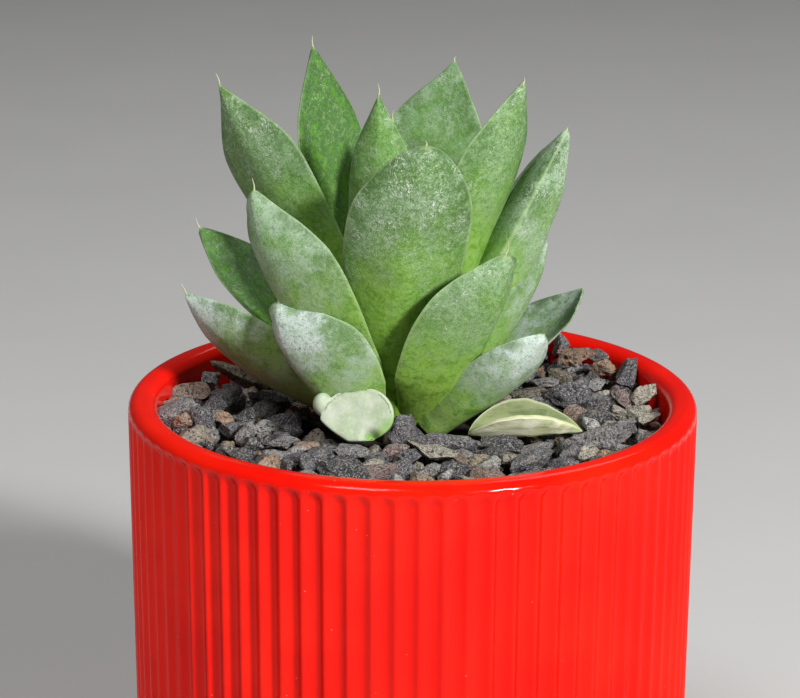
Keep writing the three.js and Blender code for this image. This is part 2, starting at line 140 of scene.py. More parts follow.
# Stones that lie in plain view: x, y, breadth and height as seen from the front, tilt in
# degrees and tone. The last three stand before the stem. Smaller ones are strewn between them.
STONES = [
    (-32.2, 9.8, 7.2, 3.3, 8, "beige"), (-36.0, 10.9, 2.3, 1.9, 0, "white"),
    (-29.5, 18.0, 2.4, 3.2, 60, "pale"), (-23.8, 17.6, 9.6, 3.0, -35, "tan"),
    (-21.3, 6.9, 5.5, 3.6, 0, "charcoal"), (-33.4, 3.5, 4.0, 2.0, 10, "orange"),
    (-27.7, 5.6, 5.4, 3.6, 30, "slate"), (-26.2, -3.4, 2.9, 2.4, -30, "orange"),
    (-32.2, -4.5, 2.5, 2.4, 0, "orange"), (-29.4, -4.6, 3.9, 3.4, -20, "slate"),
    (-22.9, -7.1, 3.2, 2.6, 40, "pale"), (-23.3, -15.0, 4.2, 2.7, -15, "charcoal"),
    (-18.7, -15.4, 4.6, 2.6, 5, "pale"), (-17.9, -9.7, 4.1, 1.9, 0, "grey"),
    (-14.2, -10.9, 3.2, 2.1, -10, "orange"), (-16.8, 2.6, 2.4, 2.7, 60, "brown"),
    (-16.8, -4.9, 2.4, 2.2, 0, "slate"), (-8.8, -15.4, 5.6, 2.0, 3, "grey"),
    (-10.8, -22.2, 3.8, 2.1, -8, "charcoal"), (-4.7, -22.2, 4.8, 2.7, 0, "pink"),
    (-1.7, -25.6, 2.1, 1.7, -30, "white"), (-13.9, -19.4, 3.2, 2.8, -35, "slate"),
    (-0.4, -17.2, 3.3, 3.3, 30, "slate"), (-4.4, -16.4, 3.3, 1.8, 10, "slate"),
    (2.9, -15.2, 6.7, 1.6, -8, "cream"), (5.6, -11.6, 6.6, 2.2, -8, "slate"),
    (12.8, -12.0, 6.5, 2.0, -3, "charcoal"), (2.2, -22.6, 2.9, 2.5, 35, "pale"),
    (4.3, -25.0, 2.1, 2.4, 60, "white"), (6.9, -20.2, 3.2, 2.8, -40, "brown"),
    (10.4, -20.9, 3.4, 3.1, 35, "white"), (15.9, -19.3, 6.7, 2.2, 5, "slate"),
    (15.2, -24.6, 3.9, 1.6, 0, "slate"), (13.2, -16.6, 3.3, 1.6, -5, "beige"),
    (7.4, -25.7, 2.3, 1.5, -20, "beige"), (21.3, -17.2, 3.1, 3.5, 70, "slate"),
    (22.9, 6.5, 6.2, 4.7, 15, "slate"), (26.1, -0.8, 4.1, 2.7, 0, "charcoal"),
    (24.1, 20.4, 5.5, 4.1, 10, "orange"), (28.3, 16.0, 3.5, 3.2, 0, "orange"),
    (19.3, 13.5, 3.9, 2.0, -5, "pale"), (17.3, 8.4, 5.2, 1.9, 0, "olive"),
    (31.4, 13.8, 4.0, 4.4, 40, "slate"), (33.4, 6.2, 3.4, 4.0, 60, "cream"),
    (33.0, -1.8, 3.6, 2.4, 10, "cream"), (30.0, 6.6, 4.0, 2.7, -30, "pink"),
    (29.6, 1.2, 3.0, 2.4, -20, "cream"), (28.2, -4.0, 3.9, 1.8, -5, "tan"),
    (26.6, -9.8, 9.0, 2.6, 10, "grey"), (26.2, -16.6, 3.7, 2.0, 10, "orange"),
    (22.4, 27.6, 3.2, 3.0, 50, "grey"), (26.4, 11.3, 3.2, 2.0, 15, "pale"),
    (17.9, 22.8, 2.6, 3.0, 40, "slate"), (28.0, 21.8, 2.9, 2.4, 0, "grey"),
    (-0.9, -11.8, 4.2, 5.6, -10, "slate"), (1.6, -13.4, 3.6, 4.0, 20, "slate"),
    (-2.2, -15.0, 3.4, 3.0, 30, "pink"),
]
# Where each tone starts on a scale from 0 to 1, and its colour.
TONES = {
    "charcoal": (0.0, (0.055, 0.055, 0.065)), "slate": (0.2, (0.15, 0.145, 0.17)),
    "grey": (0.42, (0.3, 0.29, 0.295)), "pale": (0.53, (0.5, 0.48, 0.46)),
    "white": (0.62, (0.7, 0.68, 0.64)), "beige": (0.67, (0.54, 0.45, 0.34)),
    "tan": (0.75, (0.46, 0.34, 0.2)), "cream": (0.8, (0.66, 0.6, 0.46)),
    "orange": (0.85, (0.62, 0.36, 0.21)), "pink": (0.9, (0.42, 0.27, 0.24)),
    "brown": (0.95, (0.3, 0.18, 0.12)), "olive": (0.98, (0.27, 0.23, 0.14)),
}

# ------------------------------------------------------------------ nodes written as expressions


class Field:
    """A value that varies from place to place. Arithmetic on it adds Math nodes to its tree."""

    def __init__(self, tree, socket):
        self.tree = tree
        self.socket = socket

    def __add__(self, other):
        return self.tree.math("ADD", self, other)

    def __sub__(self, other):
        return self.tree.math("SUBTRACT", self, other)

    def __rsub__(self, other):
        return self.tree.math("SUBTRACT", other, self)

    def __mul__(self, other):
        return self.tree.math("MULTIPLY", self, other)

    def __truediv__(self, other):
        return self.tree.math("DIVIDE", self, other)

    def __pow__(self, other):
        return self.tree.math("POWER", self, other)

    __radd__ = __add__
    __rmul__ = __mul__


class Tree:
    """Adds nodes to a node tree, from a type, its settings and its sockets' values or links."""

    def __init__(self, nodes_of, prefix):
        self.nodes_of = nodes_of
        self.prefix = prefix

    def node(self, kind, settings=None, **sockets):
        name = kind if kind.startswith(("Shader", "Geometry", "Function")) else self.prefix + kind
        made = self.nodes_of.nodes.new(name)
        for key, value in (settings or {}).items():
            if key == "stops":
                self.set_stops(made.color_ramp, value)
            else:
                setattr(made, key, value)
        for key, value in sockets.items():
            index = int(key[1:]) if key[0] == "_" and key[1:].isdigit() else key.replace("_", " ")
            self.plug(made.inputs[index], value)
        return made

    def plug(self, socket, value):
        if isinstance(value, Field):
            self.nodes_of.links.new(value.socket, socket)
        elif hasattr(socket, "default_value"):
            socket.default_value = value

    def set_stops(self, ramp, stops):
        while len(ramp.elements) < len(stops):
            ramp.elements.new(0.5)
        for element, (position, colour) in zip(ramp.elements, stops):
            element.position = position
            element.color = (*colour, 1)

    def out(self, made, output=0):
        return Field(self, made.outputs[output])

    def math(self, operation, *values, kind="ShaderNodeMath"):
        made = self.node(kind, {"operation": operation})
        for socket, value in zip(made.inputs, values):
            self.plug(socket, value)
        return self.out(made)

    def vector(self, operation, *values):
        return self.math(operation, *values, kind="ShaderNodeVectorMath")

    def ease(self, value, low, high):
        """0 below low, 1 above high, smooth between."""
        return self.out(self.node("ShaderNodeMapRange", {"interpolation_type": "SMOOTHSTEP"},
                                  Value=value, From_Min=low, From_Max=high))

    def clamp(self, value):
        return self.math("MINIMUM", self.math("MAXIMUM", value, 0.0), 1.0)


class Finish(Tree):
    """A material under construction."""

    def __init__(self, name):
        self.material = bpy.data.materials.new(name)
        self.material.use_nodes = True
        self.material.node_tree.nodes.clear()
        super().__init__(self.material.node_tree, "ShaderNode")
        self.place = self.out(self.node("TexCoord"), "Object")

    def scaled(self, x, y, z):
        return self.vector("MULTIPLY", self.place, (x, y, z))

    def attribute(self, name):
        return self.out(self.node("Attribute", {"attribute_name": name}), "Fac")

    def noise(self, size, detail=3.0, roughness=0.55, place=None, offset=0.0, distortion=0.0):
        """Cloudy noise whose lumps are about size millimetres across."""
        at = self.vector("ADD", place or self.place, (offset, offset, offset))
        made = self.node("TexNoise", Vector=at, Scale=1 / (size * MM), Detail=detail,
                         Roughness=roughness, Distortion=distortion)
        return self.out(made, "Fac")

    def cells(self, size):
        made = self.node("TexVoronoi", Vector=self.place, Scale=1 / (size * MM))
        return self.out(made, "Distance")

    def ramp(self, value, *stops, interpolation="LINEAR"):
        made = self.node("ValToRGB", {"stops": stops}, Fac=value)
        made.color_ramp.interpolation = interpolation
        return self.out(made)

    def mix(self, amount, first, second):
        made = self.node("Mix", {"data_type": "RGBA"})
        for index, value in ((0, amount), (6, first), (7, second)):
            if isinstance(value, tuple) and len(value) == 3:
                value = (*value, 1)
            self.plug(made.inputs[index], value)
        return Field(self, made.outputs[2])

    def coat(self, amount, over):
        """Lays a colour over the one that the material has so far."""
        self.colour = self.mix(amount, self.colour, over)

    def bump(self, height, distance, strength):
        return self.out(self.node("Bump", Height=height, Distance=distance * MM, Strength=strength))

    def finish(self, **sockets):
        shader = self.node("BsdfPrincipled", Base_Color=self.colour, **sockets)
        output = self.node("OutputMaterial")
        self.nodes_of.links.new(shader.outputs[0], output.inputs[0])
        return self.material


class Rule(Tree):
    """A Geometry Nodes tree under construction, with named inputs."""

    def __init__(self, name, **inputs):
        self.group = bpy.data.node_groups.new(name, "GeometryNodeTree")
        super().__init__(self.group, "GeometryNode")
        face = self.group.interface
        face.new_socket("Geometry", in_out="INPUT", socket_type="NodeSocketGeometry")
        kinds = {int: "NodeSocketInt", float: "NodeSocketFloat"}
        for key, value in inputs.items():
            made = face.new_socket(key, in_out="INPUT", socket_type=kinds[type(value)])
            made.default_value = value
        face.new_socket("Geometry", in_out="OUTPUT", socket_type="NodeSocketGeometry")
        self.given = self.group.nodes.new("NodeGroupInput")

    def given_input(self, name):
        return Field(self, self.given.outputs[name])

    def finish(self, geometry, material):
        realized = self.out(self.node("RealizeInstances", Geometry=geometry))
        painted = self.out(self.node("SetMaterial", Geometry=realized, Material=material))
        output = self.group.nodes.new("NodeGroupOutput")
        self.plug(output.inputs[0], painted)
        return self.group


def grown(name, base, group):
    """The plain mesh that a Geometry Nodes tree makes from a base object, as a new object."""
    modifier = base.modifiers.new(group.name, "NODES")
    modifier.node_group = group
    graph = bpy.context.evaluated_depsgraph_get()
    mesh = bpy.data.meshes.new_from_object(base.evaluated_get(graph))
    base.modifiers.remove(modifier)
    bpy.data.objects.remove(base)
    mesh.name = name
    made = bpy.data.objects.new(name, mesh)
    bpy.context.scene.collection.objects.link(made)
    return made


def mark(mesh, attributes):
    """Stores a number for each point under each name, for the finishes to read."""
    for key, values in attributes.items():
        layer = mesh.attributes.new(key, "FLOAT", "POINT")
        layer.data.foreach_set("value", np.asarray(values, np.float32))


def bands(rings, columns, closed=False):
    """Faces between neighbouring rings of points, and from the last to the first if closed."""
    faces = []
    for i in range(rings if closed else rings - 1):
        low = i * columns
        high = (i + 1) % rings * columns
        for j in range(columns):
            k = (j + 1) % columns
            faces.append((low + j, low + k, high + k, high + j))
    return faces


def new_object(name, points, faces, attributes=None):
    """A mesh object from points in millimetres."""
    mesh = bpy.data.meshes.new(name)
    mesh.from_pydata((np.asarray(points, float) * MM).tolist(), [], faces)
    mark(mesh, attributes or {})
    made = bpy.data.objects.new(name, mesh)
    bpy.context.scene.collection.objects.link(made)
    return made


def smooth(made, sharp_degrees=None):
    for polygon in made.data.polygons:
        polygon.use_smooth = True
    if sharp_degrees:
        made.data.set_sharp_from_angle(angle=math.radians(sharp_degrees))


def settle(made, slot, *nodes):
    """Puts a finished piece on the pot's one body, in place of its plain solids."""
    if nodes:
        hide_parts(*nodes)
    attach(made, "root")


# ------------------------------------------------------------------ finishes


def red_glaze():
    glaze = Finish("red_glaze")
    broad = glaze.noise(22, 2)
    pooled = glaze.noise(6, 3, offset=0.3)
    glaze.colour = glaze.mix(glaze.ease(broad, 0.35, 0.65), (0.74, 0.006, 0.002), (0.84, 0.012, 0.003))
    glaze.coat(glaze.ease(pooled, 0.5, 0.75) * 0.25, (0.6, 0.005, 0.002))
    dust = glaze.ease(glaze.cells(1.1), 0.07, 0.03) * glaze.ease(glaze.noise(2.6, 2, offset=0.1), 0.55, 0.62)
    glaze.coat(dust * 0.55, (0.85, 0.6, 0.55))
    ripple = glaze.noise(3.2, 2, offset=0.7) * 0.6 + glaze.noise(0.9, 1) * 0.15
    gloss = glaze.noise(5, 3) * 0.1 + 0.08 + dust * 0.4
    return glaze.finish(Roughness=gloss, IOR=1.24, Normal=glaze.bump(ripple, 0.12, 0.5))


def leaf_skin():
    """Waxy green skin: yellower and clearer at the foot, greyer and finely scratched to the tip."""
    skin = Finish("leaf_skin")
    along, across, inner, frost, shade, lime, worn = map(
        skin.attribute, ("along", "across", "inner", "frost", "shade", "lime", "worn"))
    from_middle = skin.math("ABSOLUTE", across)
    lengthwise = skin.out(skin.node("CombineXYZ", _0=across * 0.008, _1=along * 0.01,
                                    _2=inner * 0.05 + lime * 0.11))
    broad = skin.noise(7, 2, offset=0.2)
    mottle = skin.noise(2.4, 4, 0.65)
    grain = skin.noise(0.55, 3, 0.75)
    fine = skin.noise(0.2, 2, 0.6, offset=0.4)
    curls = skin.noise(2.4, 2, 0.6, offset=0.9, distortion=2.6)
    lines = skin.noise(0.8, 3, 0.6, place=lengthwise)
    patches = skin.ease(skin.noise(3.4, 2, offset=0.6), 0.48, 0.6)

    place = along + (broad - 0.5) * 0.3 + (mottle - 0.5) * 0.15
    skin.colour = skin.ramp(place, (0.05, (0.3, 0.5, 0.05)), (0.4, (0.21, 0.42, 0.04)),
                            (0.72, (0.14, 0.31, 0.035)), (1.0, (0.1, 0.22, 0.045)))
    limes = skin.mix(skin.ease(place, 0.2, 0.9), (0.36, 0.56, 0.1), (0.2, 0.42, 0.09))
    skin.coat(lime, limes)
    # Painted shadow: the green is darkened on leaves that their neighbours shadow.
    skin.coat(shade, (0.03, 0.1, 0.012))
    skin.coat(skin.ease(lines, 0.54, 0.7) * 0.3, (0.08, 0.22, 0.02))
    cloud = skin.noise(1.5, 5, 0.7, offset=0.15, distortion=0.6)
    skin.coat(skin.ease(cloud, 0.5, 0.6) * 0.65, (0.09, 0.26, 0.01))
    skin.coat(skin.ease(cloud, 0.47, 0.36) * 0.25, (0.34, 0.52, 0.14))

    weathered = worn * skin.ease(place, 0.45, 0.85)
    skin.coat(weathered * 0.6, (0.075, 0.135, 0.045))

    # The bloom is even low down and breaks up into grains and scratches towards the tip.
    reach = skin.ease(place, 0.3, 0.95)
    drift = skin.ease(broad * 0.45 + mottle * 0.35 + (1 - cloud) * 0.2, 0.4, 0.58)
    bloom = skin.clamp(frost * (0.14 + reach * 0.9) * (0.3 + drift * 0.9))
    haze = skin.mix(skin.ease(frost, 0.4, 0.9), (0.42, 0.54, 0.42), (0.58, 0.67, 0.64))
    skin.coat(bloom * 0.85, haze)
    grit = grain * 0.55 + fine * 0.45
    # The grain fades where the painted shadow darkens the leaf.
    graininess = (0.12 + reach * (0.15 + 0.6 * worn)) * (1 - shade * 0.5)
    skin.coat(skin.ease(grit, 0.515, 0.62) * graininess * 0.8, (0.4, 0.48, 0.37))
    skin.coat(skin.ease(grit, 0.5, 0.4) * graininess * 0.85, (0.035, 0.09, 0.015))
    shoulder = skin.ease(from_middle, 0.45, 0.88) * skin.ease(along, 0.5, 0.85)
    skin.coat(shoulder * skin.ease(mottle, 0.64, 0.42) * (0.3 + worn * 0.4), (0.04, 0.1, 0.022))
    scratch = skin.ease(skin.math("ABSOLUTE", curls - 0.5), 0.016, 0.004) * patches
    flecks = skin.ease(skin.cells(0.8), 0.22, 0.1) * patches
    marks = skin.clamp(scratch + flecks * 0.7) * reach * (0.3 + worn * 0.7)
    skin.coat(marks * 0.85, (0.6, 0.64, 0.58))
    dashes = skin.noise(0.45, 2, 0.6, offset=0.33, distortion=1.2)
    dashes = skin.ease(dashes, 0.56, 0.6) * skin.ease(frost, 0.6, 0.9) * skin.ease(along, 0.55, 0.8)
    skin.coat(dashes * drift * 0.4, (0.14, 0.2, 0.12))
    specks = skin.ease(skin.cells(1.7), 0.13, 0.08) * skin.ease(skin.noise(5, 1, offset=0.8), 0.56, 0.64)
    skin.coat(specks * skin.ease(along, 0.6, 0.8) * 0.75, (0.05, 0.05, 0.02))

    margin = skin.ease(from_middle, 0.955, 0.99)
    skin.coat(margin * 0.3, (0.4, 0.54, 0.27))
    nicks = skin.ease(from_middle, 0.9, 0.97) * skin.ease(fine, 0.56, 0.64) * reach
    skin.coat(nicks * 0.6, (0.07, 0.09, 0.035))
    tip = skin.ease(along, 0.992, 1.0)
    skin.coat(tip * 0.5, (0.3, 0.36, 0.16))
    bristle = skin.ease(along, 1.01, 1.04)
    skin.coat(bristle, (0.42, 0.46, 0.28))

    rough = 0.45 + bloom * 0.2 + grain * 0.15
    height = cloud * 0.5 + grain * 0.45 + fine * 0.2 + marks * 0.15 - lines * 0.1
    return skin.finish(Roughness=rough, Subsurface_Weight=0.08,
                       Subsurface_Radius=(0.5, 1.0, 0.25), Subsurface_Scale=0.6 * MM,
                       Specular_IOR_Level=0.22, Normal=skin.bump(height, 0.2, 0.8))


def stone_faces():
    stones = Finish("crushed_stone")
    stones.colour = stones.ramp(stones.attribute("tone"), *TONES.values(), interpolation="CONSTANT")
    broad = stones.noise(1.9, 4, 0.7)
    patchy = stones.noise(0.9, 4, 0.75, offset=0.2)
    pits = stones.noise(0.5, 3, 0.75, offset=0.4)
    grain = stones.noise(0.24, 2, 0.7, offset=0.6)
    veins = stones.ease(stones.noise(3.0, 5, 0.75, offset=0.8, distortion=1.0), 0.55, 0.64)
    stones.coat(stones.ease(broad, 0.45, 0.7) * 0.4, (0.36, 0.32, 0.3))
    stones.coat(stones.ease(patchy, 0.42, 0.32) * 0.6, (0.06, 0.052, 0.056))
    stones.coat(veins * 0.6, (0.58, 0.5, 0.42))
    crust = stones.ease(stones.noise(1.4, 5, 0.8, offset=0.5, distortion=0.8), 0.55, 0.6)
    stones.coat(crust * 0.6, (0.66, 0.63, 0.58))
    stones.coat(stones.ease(grain, 0.53, 0.6) * 0.6, (0.7, 0.67, 0.63))
    stones.coat(stones.ease(pits, 0.45, 0.38) * 0.85, (0.014, 0.012, 0.012))
    height = broad * 0.5 + patchy * 0.7 + pits * 0.9 + grain * 0.35 + crust * 0.1
    return stones.finish(Roughness=0.7 + broad * 0.25, Normal=stones.bump(height, 1.0, 1.4))


def dark_mix(name):
    crumbs = Finish(name)
    broad = crumbs.noise(3, 5, 0.7)
    fine = crumbs.noise(0.6, 3, 0.7)
    crumbs.colour = crumbs.mix(crumbs.ease(broad, 0.4, 0.65), (0.014, 0.01, 0.008), (0.06, 0.042, 0.03))
    crumbs.coat(crumbs.ease(fine, 0.6, 0.72) * 0.5, (0.16, 0.11, 0.07))
    return crumbs.finish(Roughness=0.86 + fine * 0.12, Normal=crumbs.bump(broad + fine * 0.6, 0.9, 1.0))


def stem_fibre():
    fibre = Finish("stem_fibre")
    broad = fibre.noise(2.5, 4, 0.6)
    lines = fibre.noise(0.9, 3, place=fibre.scaled(1, 1, 0.2))
    fibre.colour = fibre.mix(fibre.ease(broad, 0.35, 0.65), (0.07, 0.05, 0.03), (0.16, 0.12, 0.07))
    fibre.coat(fibre.ease(lines, 0.5, 0.68) * 0.5, (0.05, 0.035, 0.02))
    return fibre.finish(Roughness=0.7 + broad * 0.2, Normal=fibre.bump(lines, 0.3, 0.8))


def pale_skin():
    """The stunted leaf: a chalky face with a cracked upper rim, greener at its sides."""
    skin = Finish("stunted_leaf_skin")
    x, y, z = map(skin.attribute, ("rightward", "upward", "forward"))
    broad = skin.noise(3, 3)
    fine = skin.noise(0.5, 3, 0.65)
    face = skin.mix(skin.ease(broad, 0.35, 0.65), (0.32, 0.39, 0.25), (0.42, 0.46, 0.36))
    face = skin.mix(skin.ease(fine, 0.5, 0.66) * 0.35, face, (0.5, 0.54, 0.46))
    side = skin.mix(skin.ease(fine, 0.4, 0.6), (0.2, 0.34, 0.12), (0.36, 0.46, 0.27))
    skin.colour = skin.mix(skin.ease(z, -0.1, -0.6), face, side)
    foot = skin.ease(x - y * 0.8, 3.2, 5.2) + skin.ease(y, -1.6, -2.6) * skin.ease(x, 1.0, 2.2)
    skin.coat(skin.clamp(foot) * 0.8, (0.17, 0.33, 0.06))
    knob = skin.ease(x, -4.3, -4.9)
    skin.coat(knob * 0.8, (0.42, 0.52, 0.38))
    # Distance from the face's outline, for the pale rim and the thin dark crack inside it.
    reach = ((x / 5.1) ** 2 + ((y - 0.06 * x) / 4.4) ** 2) ** 0.5 + (fine - 0.5) * 0.06
    rim = skin.ease(reach, 0.9, 0.97) * skin.ease(y, 0.2, 1.0) * skin.ease(z, -0.7, -0.3)
    skin.coat(rim * 0.25, (0.5, 0.54, 0.42))
    crack = skin.ease(reach, 0.88, 0.9) * skin.ease(reach, 0.94, 0.92) * skin.ease(y, 0.6, 1.2)
    crack = crack * skin.ease(skin.noise(0.8, 2, offset=0.3), 0.44, 0.54)
    skin.coat(crack * 0.6, (0.12, 0.16, 0.07))
    streaks = skin.ease(skin.noise(0.5, 3, 0.7, place=skin.scaled(1, 1, 0.25), offset=0.7), 0.55, 0.7)
    skin.coat(streaks * 0.35, (0.25, 0.36, 0.16))
    return skin.finish(Roughness=0.5 + broad * 0.2, Subsurface_Weight=0.12,
                       Subsurface_Radius=(0.8, 1.0, 0.4), Subsurface_Scale=1.0 * MM,
                       Normal=skin.bump(broad * 0.5 + fine * 0.4 - crack * 0.6, 0.15, 0.7))


def dry_skin():
    """The withered leaf: cream outside with green streaks, olive inside with rusty dots."""
    skin = Finish("withered_leaf_skin")
    along, across, inside = map(skin.attribute, ("along", "across", "inner"))
    streak = skin.noise(1.4, 4, 0.65, place=skin.scaled(0.2, 1, 1))
    blotch = skin.noise(2.2, 4, 0.65, offset=0.4)
    fine = skin.noise(0.4, 3, 0.6)
    outer = skin.mix(skin.ease(streak, 0.38, 0.62), (0.46, 0.49, 0.27), (0.66, 0.66, 0.5))
    outer = skin.mix(skin.ease(blotch, 0.55, 0.66) * 0.5, outer, (0.3, 0.38, 0.14))
    outer = skin.mix(skin.ease(across, -0.45, -0.15) * 0.5, outer, (0.4, 0.44, 0.22))
    deep = skin.mix(skin.ease(streak, 0.4, 0.6), (0.1, 0.14, 0.035), (0.2, 0.24, 0.09))
    deep = skin.mix(skin.ease(blotch, 0.5, 0.66) * 0.4, deep, (0.27, 0.3, 0.13))
    dots = skin.ease(skin.cells(1.3), 0.34, 0.24) * skin.ease(across, 0.3, -0.4)
    dots = dots * skin.ease(along, 0.62, 0.5)
    deep = skin.mix(dots * 0.7, deep, (0.5, 0.28, 0.18))
    skin.colour = skin.mix(inside, outer, deep)
    edge = skin.ease(skin.math("ABSOLUTE", across), 0.9, 0.99)
    skin.coat(edge * 0.5, (0.66, 0.66, 0.42))
    skin.coat(skin.ease(along, 0.86, 1.0) * 0.5, (0.36, 0.46, 0.1))
    return skin.finish(Roughness=0.5 + blotch * 0.2, Subsurface_Weight=0.1,
                       Subsurface_Radius=(1.0, 0.9, 0.4), Subsurface_Scale=0.8 * MM,
                       Normal=skin.bump(streak * 0.8 + blotch * 0.3 + fine * 0.2, 0.22, 0.8))


# ------------------------------------------------------------------ pot


def arc(centre_radius, centre_height, size, first, last, steps):
    """Points of a round corner in the pot's profile, between two angles in degrees."""
    angles = np.radians(np.linspace(first, last, steps + 1))
    return [(centre_radius + size * math.cos(a), centre_height + size * math.sin(a)) for a in angles]


def pot_profile():
    """Radius and height from the foot up the outside, over the rim and down the inside."""
    def wall(height):
        return POT_RADIUS - (POT_HEIGHT - height) * POT_TAPER

    centre_height = POT_HEIGHT - RIM_ROUNDING
    flute_rows = np.concatenate([
        np.linspace(FLUTE_FOOT - 0.4, FLUTE_FOOT + 3.2, 13),
        np.linspace(FLUTE_FOOT + 8, FLUTE_TOP - 8, 9),
        np.linspace(FLUTE_TOP - 3.6, centre_height - 0.05, 15),
    ])
    inner_foot = wall(POT_FLOOR) - POT_WALL
    return [
        *arc(FOOT_INNER + 0.4, 0.4, 0.4, 180, 270, 3),
        *arc(FOOT_OUTER - 0.2, 1.6, 1.6, 270, 350, 6),
        *[(wall(z), z) for z in flute_rows],
        *arc(POT_RADIUS - RIM_ROUNDING, centre_height, RIM_ROUNDING, 0, 90, 8),
        *arc(POT_RADIUS - POT_WALL + RIM_ROUNDING, centre_height, RIM_ROUNDING, 90, 180, 8),
        *[(wall(z) - POT_WALL, z) for z in np.linspace(POT_HEIGHT - 4, POT_FLOOR + 3, 6)],
        *arc(inner_foot - 2, POT_FLOOR + 2, 2, 0, -90, 4),
        *arc(DRAIN_RADIUS + 0.5, POT_FLOOR - 0.5, 0.5, 90, 180, 3),
        *arc(DRAIN_RADIUS + 0.5, FOOT_RECESS + 0.5, 0.5, 180, 270, 3),
        *arc(FOOT_INNER - 0.8, FOOT_RECESS - 0.8, 0.8, 90, 0, 3),
    ]


def flute_rule():
    """Presses concave flutes with rounded ends into the outside of the plain pot."""
    rule = Rule("flutes", Flutes=FLUTES, Depth=FLUTE_DEPTH * MM, Top=FLUTE_TOP * MM,
                Foot=FLUTE_FOOT * MM, Wall=(POT_RADIUS - POT_WALL / 2) * MM)
    place = rule.out(rule.node("InputPosition"))
    apart = rule.node("ShaderNodeSeparateXYZ", _0=place)
    x, y, z = (rule.out(apart, i) for i in range(3))
    radius = (x * x + y * y) ** 0.5
    turn = rule.math("ARCTAN2", y, x) * (0.5 / math.pi)
    across = rule.math("FRACT", turn * rule.given_input("Flutes") + 1000.0 - FLUTE_SHIFT)
    # 0 on the ridge between two flutes, whose glaze rounds it, and 1 in the middle of a flute.
    ridge_softness = 0.2
    side = rule.math("ABSOLUTE", across * 2 - 1)
    scoop = 1 - side * side
    scoop = ((scoop * scoop + ridge_softness ** 2) ** 0.5 - ridge_softness) / (1 - ridge_softness)
    arch = 0.3 * MM
    fade = 1.9 * MM
    down = rule.given_input("Top") - z - (1 - scoop) * arch
    up = z - rule.given_input("Foot") - (1 - scoop) * arch
    ends = rule.ease(down, 0.0, fade) * rule.ease(up, 0.0, fade)
    outside = rule.math("GREATER_THAN", radius, rule.given_input("Wall"))
    depth = scoop * ends * outside * rule.given_input("Depth")
    inward = rule.vector("NORMALIZE", rule.vector("MULTIPLY", place, (-1, -1, 0)))
    step = rule.node("ShaderNodeVectorMath", {"operation": "SCALE"}, _0=inward, Scale=depth)
    pressed = rule.out(rule.node("SetPosition", Geometry=rule.given_input("Geometry"),
                                 Offset=rule.out(step)))
    return rule.finish(pressed, red_glaze())


def make_pot():
    columns = FLUTES * 12
    profile = pot_profile()
    angles = np.arange(columns) / columns * 2 * math.pi
    points = [(r * math.cos(a), r * math.sin(a), z) for r, z in profile for a in angles]
    faces = bands(len(profile), columns, closed=True)
    pot = grown("fluted_pot", new_object("pot_blank", points, faces), flute_rule())
    smooth(pot)
    settle(pot, "red_glaze", "pot")


# ------------------------------------------------------------------ leaves


def breadth(leaf, t):
    if t < leaf["widest"]:
        return leaf["foot"] + (1 - leaf["foot"]) * math.sin(math.pi / 2 * t / leaf["widest"])
    beyond = (t - leaf["widest"]) / (1 - leaf["widest"])
    return max(0.0, 1 - beyond * beyond) ** leaf["point"]


def directions(leaf, t):
    """Along the leaf, across it and towards its inner face, before the leaf is rolled."""
    azimuth = math.radians(leaf["azimuth"] + leaf["sweep"] * t)
    lean = math.radians(leaf["lean"] + (leaf["tip_lean"] - leaf["lean"]) * t)
    aside = Vector((math.cos(azimuth), math.sin(azimuth), 0))
    along = aside * math.sin(lean) + Vector((0, 0, math.cos(lean)))
    inward = -aside * math.cos(lean) + Vector((0, 0, math.sin(lean)))
    return along, inward.cross(along), inward


def leaf_stations(leaf, rows):
    """Places and directions at rows steps along the leaf's middle."""
    place = Vector((
        leaf["start"][0] + leaf["shift_x"] + leaf["radius"] * math.cos(math.radians(leaf["azimuth"])),
        leaf["start"][1] + leaf["radius"] * math.sin(math.radians(leaf["azimuth"])),
        leaf["height"]))
    stations = []
    previous = 0.0
    for i in range(rows + 1):
        t = 1 - (1 - i / rows) ** 1.35
        along = directions(leaf, (t + previous) / 2)[0]
        place = place + along * leaf["length"] * (t - previous)
        previous = t
        along, across, inward = directions(leaf, t)
        roll = Matrix.Rotation(math.radians(leaf["turn"]), 3, along)
        stations.append((t, place + across * leaf["hook"] * t ** 3, along, roll @ across, roll @ inward))
    return stations


